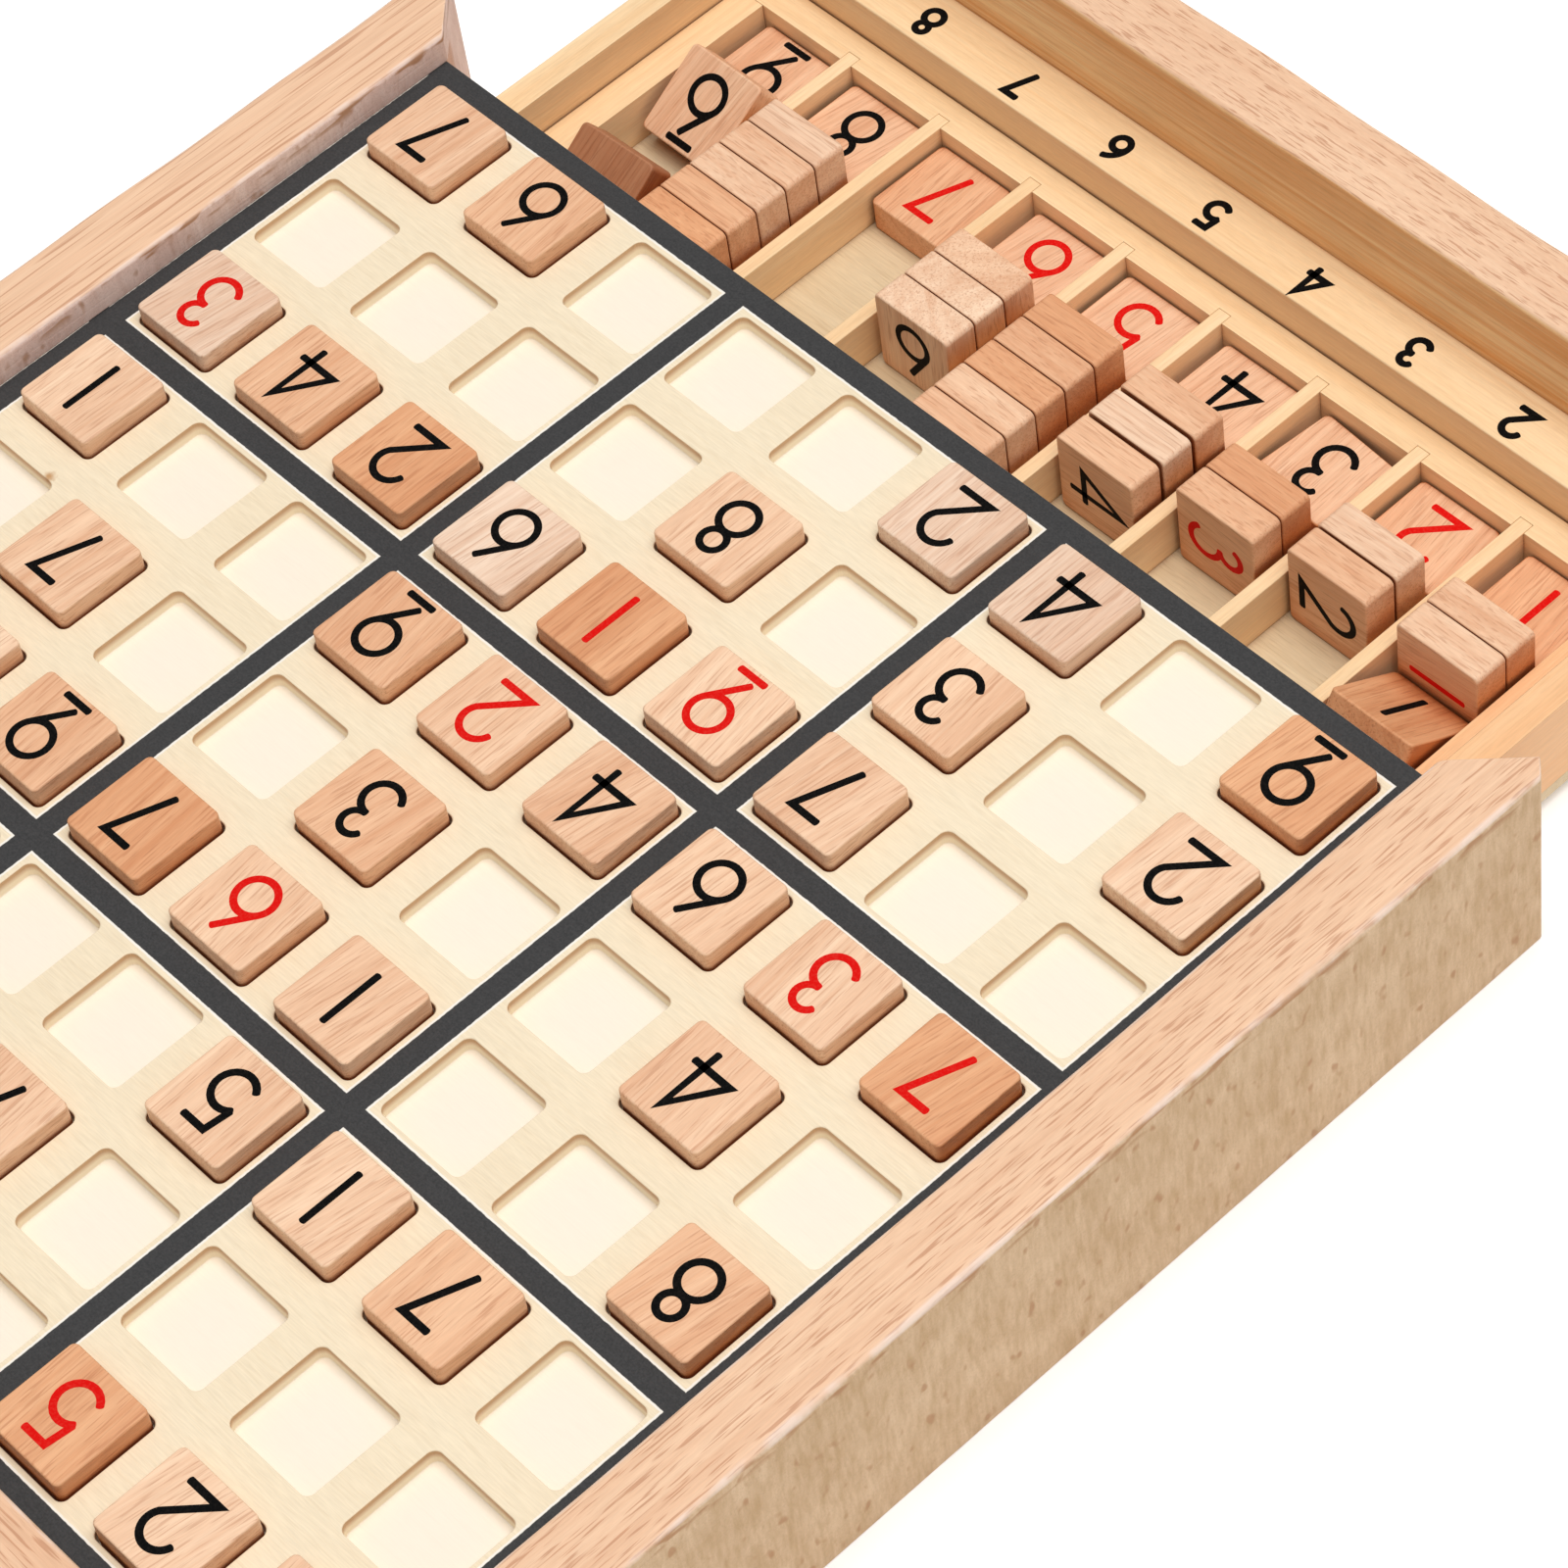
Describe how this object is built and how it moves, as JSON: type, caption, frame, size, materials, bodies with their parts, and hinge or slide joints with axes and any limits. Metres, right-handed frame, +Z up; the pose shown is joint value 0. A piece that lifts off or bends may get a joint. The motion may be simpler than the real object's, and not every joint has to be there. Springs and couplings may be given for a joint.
{
  "type": "sudoku board with drawer",
  "caption": "Wooden sudoku board: mitred frame round a panel with square pockets for loose number tiles, and a drawer with a divided tray for the spare tiles.",
  "frame": {"origin": "centre of the case's underside, on the table, under the centre of the board", "axes": "+Z up; -Y the way the drawer opens; +X to the right for someone facing the drawer front"},
  "size_m": [0.2876, 0.3716, 0.046],
  "materials": {
    "frame_beech": "satin",
    "board_panel": "satin",
    "base_sheet": "matte",
    "drawer_pine": "matte",
    "tile_beech": "satin"
  },
  "bodies": {
    "case": {"board_panel": "board_panel", "left_rail": "frame_beech", "right_rail": "frame_beech", "rear_rail": "frame_beech", "base_panel": "base_sheet"},
    "drawer": {"drawer_front": "frame_beech", "number_strip": "drawer_pine", "drawer_left_side": "drawer_pine", "drawer_right_side": "drawer_pine", "drawer_back": "drawer_pine", "drawer_bottom": "base_sheet", "tray_front_rail": "drawer_pine", "tray_left_rail": "drawer_pine", "tray_right_rail": "drawer_pine", "tray_back_rail": "drawer_pine", "tray_dividers": "drawer_pine", "spare_tile_under_board": "tile_beech"},
    "spare_tiles_1_to_3": {"spare_tiles_1_to_3": "tile_beech"},
    "spare_tiles_4_to_6": {"spare_tiles_4_to_6": "tile_beech"},
    "spare_tiles_7_to_9": {"spare_tiles_7_to_9": "tile_beech"},
    "tile_row1_col1": {"tile_row1_col1": "tile_beech"},
    "tile_row1_col3": {"tile_row1_col3": "tile_beech"},
    "tile_row1_col4": {"tile_row1_col4": "tile_beech"},
    "tile_row1_col8": {"tile_row1_col8": "tile_beech"},
    "tile_row1_col9": {"tile_row1_col9": "tile_beech"},
    "tile_row2_col1": {"tile_row2_col1": "tile_beech"},
    "tile_row2_col3": {"tile_row2_col3": "tile_beech"},
    "tile_row2_col5": {"tile_row2_col5": "tile_beech"},
    "tile_row3_col3": {"tile_row3_col3": "tile_beech"},
    "tile_row3_col4": {"tile_row3_col4": "tile_beech"},
    "tile_row3_col5": {"tile_row3_col5": "tile_beech"},
    "tile_row3_col6": {"tile_row3_col6": "tile_beech"},
    "tile_row3_col7": {"tile_row3_col7": "tile_beech"},
    "tile_row3_col8": {"tile_row3_col8": "tile_beech"},
    "tile_row3_col9": {"tile_row3_col9": "tile_beech"},
    "tile_row4_col1": {"tile_row4_col1": "tile_beech"},
    "tile_row4_col2": {"tile_row4_col2": "tile_beech"},
    "tile_row4_col3": {"tile_row4_col3": "tile_beech"},
    "tile_row4_col4": {"tile_row4_col4": "tile_beech"},
    "tile_row4_col5": {"tile_row4_col5": "tile_beech"},
    "tile_row4_col6": {"tile_row4_col6": "tile_beech"},
    "tile_row4_col9": {"tile_row4_col9": "tile_beech"},
    "tile_row5_col2": {"tile_row5_col2": "tile_beech"},
    "tile_row5_col5": {"tile_row5_col5": "tile_beech"},
    "tile_row5_col8": {"tile_row5_col8": "tile_beech"},
    "tile_row6_col1": {"tile_row6_col1": "tile_beech"},
    "tile_row6_col4": {"tile_row6_col4": "tile_beech"},
    "tile_row6_col5": {"tile_row6_col5": "tile_beech"},
    "tile_row6_col6": {"tile_row6_col6": "tile_beech"},
    "tile_row6_col7": {"tile_row6_col7": "tile_beech"},
    "tile_row6_col8": {"tile_row6_col8": "tile_beech"},
    "tile_row7_col2": {"tile_row7_col2": "tile_beech"},
    "tile_row7_col3": {"tile_row7_col3": "tile_beech"},
    "tile_row7_col4": {"tile_row7_col4": "tile_beech"},
    "tile_row8_col5": {"tile_row8_col5": "tile_beech"},
    "tile_row9_col1": {"tile_row9_col1": "tile_beech"},
    "tile_row9_col2": {"tile_row9_col2": "tile_beech"},
    "tile_row9_col3": {"tile_row9_col3": "tile_beech"}
  },
  "joints": [
    {"name": "drawer_slide", "type": "slide", "parent": "case", "child": "drawer", "axis": [0, -1, 0], "range_m": [-0.0837, 0.04]},
    {"name": "spare_tiles_1_to_3_lift", "type": "slide", "parent": "drawer", "child": "spare_tiles_1_to_3", "axis": [0, 0, 1], "range_m": [0, 0.03]},
    {"name": "spare_tiles_4_to_6_lift", "type": "slide", "parent": "drawer", "child": "spare_tiles_4_to_6", "axis": [0, 0, 1], "range_m": [0, 0.03]},
    {"name": "spare_tiles_7_to_9_lift", "type": "slide", "parent": "drawer", "child": "spare_tiles_7_to_9", "axis": [0, 0, 1], "range_m": [0, 0.03]},
    {"name": "tile_row1_col1_lift", "type": "slide", "parent": "case", "child": "tile_row1_col1", "axis": [0, 0, 1], "range_m": [0, 0.03]},
    {"name": "tile_row1_col3_lift", "type": "slide", "parent": "case", "child": "tile_row1_col3", "axis": [0, 0, 1], "range_m": [0, 0.03]},
    {"name": "tile_row1_col4_lift", "type": "slide", "parent": "case", "child": "tile_row1_col4", "axis": [0, 0, 1], "range_m": [0, 0.03]},
    {"name": "tile_row1_col8_lift", "type": "slide", "parent": "case", "child": "tile_row1_col8", "axis": [0, 0, 1], "range_m": [0, 0.03]},
    {"name": "tile_row1_col9_lift", "type": "slide", "parent": "case", "child": "tile_row1_col9", "axis": [0, 0, 1], "range_m": [0, 0.03]},
    {"name": "tile_row2_col1_lift", "type": "slide", "parent": "case", "child": "tile_row2_col1", "axis": [0, 0, 1], "range_m": [0, 0.03]},
    {"name": "tile_row2_col3_lift", "type": "slide", "parent": "case", "child": "tile_row2_col3", "axis": [0, 0, 1], "range_m": [0, 0.03]},
    {"name": "tile_row2_col5_lift", "type": "slide", "parent": "case", "child": "tile_row2_col5", "axis": [0, 0, 1], "range_m": [0, 0.03]},
    {"name": "tile_row3_col3_lift", "type": "slide", "parent": "case", "child": "tile_row3_col3", "axis": [0, 0, 1], "range_m": [0, 0.03]},
    {"name": "tile_row3_col4_lift", "type": "slide", "parent": "case", "child": "tile_row3_col4", "axis": [0, 0, 1], "range_m": [0, 0.03]},
    {"name": "tile_row3_col5_lift", "type": "slide", "parent": "case", "child": "tile_row3_col5", "axis": [0, 0, 1], "range_m": [0, 0.03]},
    {"name": "tile_row3_col6_lift", "type": "slide", "parent": "case", "child": "tile_row3_col6", "axis": [0, 0, 1], "range_m": [0, 0.03]},
    {"name": "tile_row3_col7_lift", "type": "slide", "parent": "case", "child": "tile_row3_col7", "axis": [0, 0, 1], "range_m": [0, 0.03]},
    {"name": "tile_row3_col8_lift", "type": "slide", "parent": "case", "child": "tile_row3_col8", "axis": [0, 0, 1], "range_m": [0, 0.03]},
    {"name": "tile_row3_col9_lift", "type": "slide", "parent": "case", "child": "tile_row3_col9", "axis": [0, 0, 1], "range_m": [0, 0.03]},
    {"name": "tile_row4_col1_lift", "type": "slide", "parent": "case", "child": "tile_row4_col1", "axis": [0, 0, 1], "range_m": [0, 0.03]},
    {"name": "tile_row4_col2_lift", "type": "slide", "parent": "case", "child": "tile_row4_col2", "axis": [0, 0, 1], "range_m": [0, 0.03]},
    {"name": "tile_row4_col3_lift", "type": "slide", "parent": "case", "child": "tile_row4_col3", "axis": [0, 0, 1], "range_m": [0, 0.03]},
    {"name": "tile_row4_col4_lift", "type": "slide", "parent": "case", "child": "tile_row4_col4", "axis": [0, 0, 1], "range_m": [0, 0.03]},
    {"name": "tile_row4_col5_lift", "type": "slide", "parent": "case", "child": "tile_row4_col5", "axis": [0, 0, 1], "range_m": [0, 0.03]},
    {"name": "tile_row4_col6_lift", "type": "slide", "parent": "case", "child": "tile_row4_col6", "axis": [0, 0, 1], "range_m": [0, 0.03]},
    {"name": "tile_row4_col9_lift", "type": "slide", "parent": "case", "child": "tile_row4_col9", "axis": [0, 0, 1], "range_m": [0, 0.03]},
    {"name": "tile_row5_col2_lift", "type": "slide", "parent": "case", "child": "tile_row5_col2", "axis": [0, 0, 1], "range_m": [0, 0.03]},
    {"name": "tile_row5_col5_lift", "type": "slide", "parent": "case", "child": "tile_row5_col5", "axis": [0, 0, 1], "range_m": [0, 0.03]},
    {"name": "tile_row5_col8_lift", "type": "slide", "parent": "case", "child": "tile_row5_col8", "axis": [0, 0, 1], "range_m": [0, 0.03]},
    {"name": "tile_row6_col1_lift", "type": "slide", "parent": "case", "child": "tile_row6_col1", "axis": [0, 0, 1], "range_m": [0, 0.03]},
    {"name": "tile_row6_col4_lift", "type": "slide", "parent": "case", "child": "tile_row6_col4", "axis": [0, 0, 1], "range_m": [0, 0.03]},
    {"name": "tile_row6_col5_lift", "type": "slide", "parent": "case", "child": "tile_row6_col5", "axis": [0, 0, 1], "range_m": [0, 0.03]},
    {"name": "tile_row6_col6_lift", "type": "slide", "parent": "case", "child": "tile_row6_col6", "axis": [0, 0, 1], "range_m": [0, 0.03]},
    {"name": "tile_row6_col7_lift", "type": "slide", "parent": "case", "child": "tile_row6_col7", "axis": [0, 0, 1], "range_m": [0, 0.03]},
    {"name": "tile_row6_col8_lift", "type": "slide", "parent": "case", "child": "tile_row6_col8", "axis": [0, 0, 1], "range_m": [0, 0.03]},
    {"name": "tile_row7_col2_lift", "type": "slide", "parent": "case", "child": "tile_row7_col2", "axis": [0, 0, 1], "range_m": [0, 0.03]},
    {"name": "tile_row7_col3_lift", "type": "slide", "parent": "case", "child": "tile_row7_col3", "axis": [0, 0, 1], "range_m": [0, 0.03]},
    {"name": "tile_row7_col4_lift", "type": "slide", "parent": "case", "child": "tile_row7_col4", "axis": [0, 0, 1], "range_m": [0, 0.03]},
    {"name": "tile_row8_col5_lift", "type": "slide", "parent": "case", "child": "tile_row8_col5", "axis": [0, 0, 1], "range_m": [0, 0.03]},
    {"name": "tile_row9_col1_lift", "type": "slide", "parent": "case", "child": "tile_row9_col1", "axis": [0, 0, 1], "range_m": [0, 0.03]},
    {"name": "tile_row9_col2_lift", "type": "slide", "parent": "case", "child": "tile_row9_col2", "axis": [0, 0, 1], "range_m": [0, 0.03]},
    {"name": "tile_row9_col3_lift", "type": "slide", "parent": "case", "child": "tile_row9_col3", "axis": [0, 0, 1], "range_m": [0, 0.03]}
  ]
}
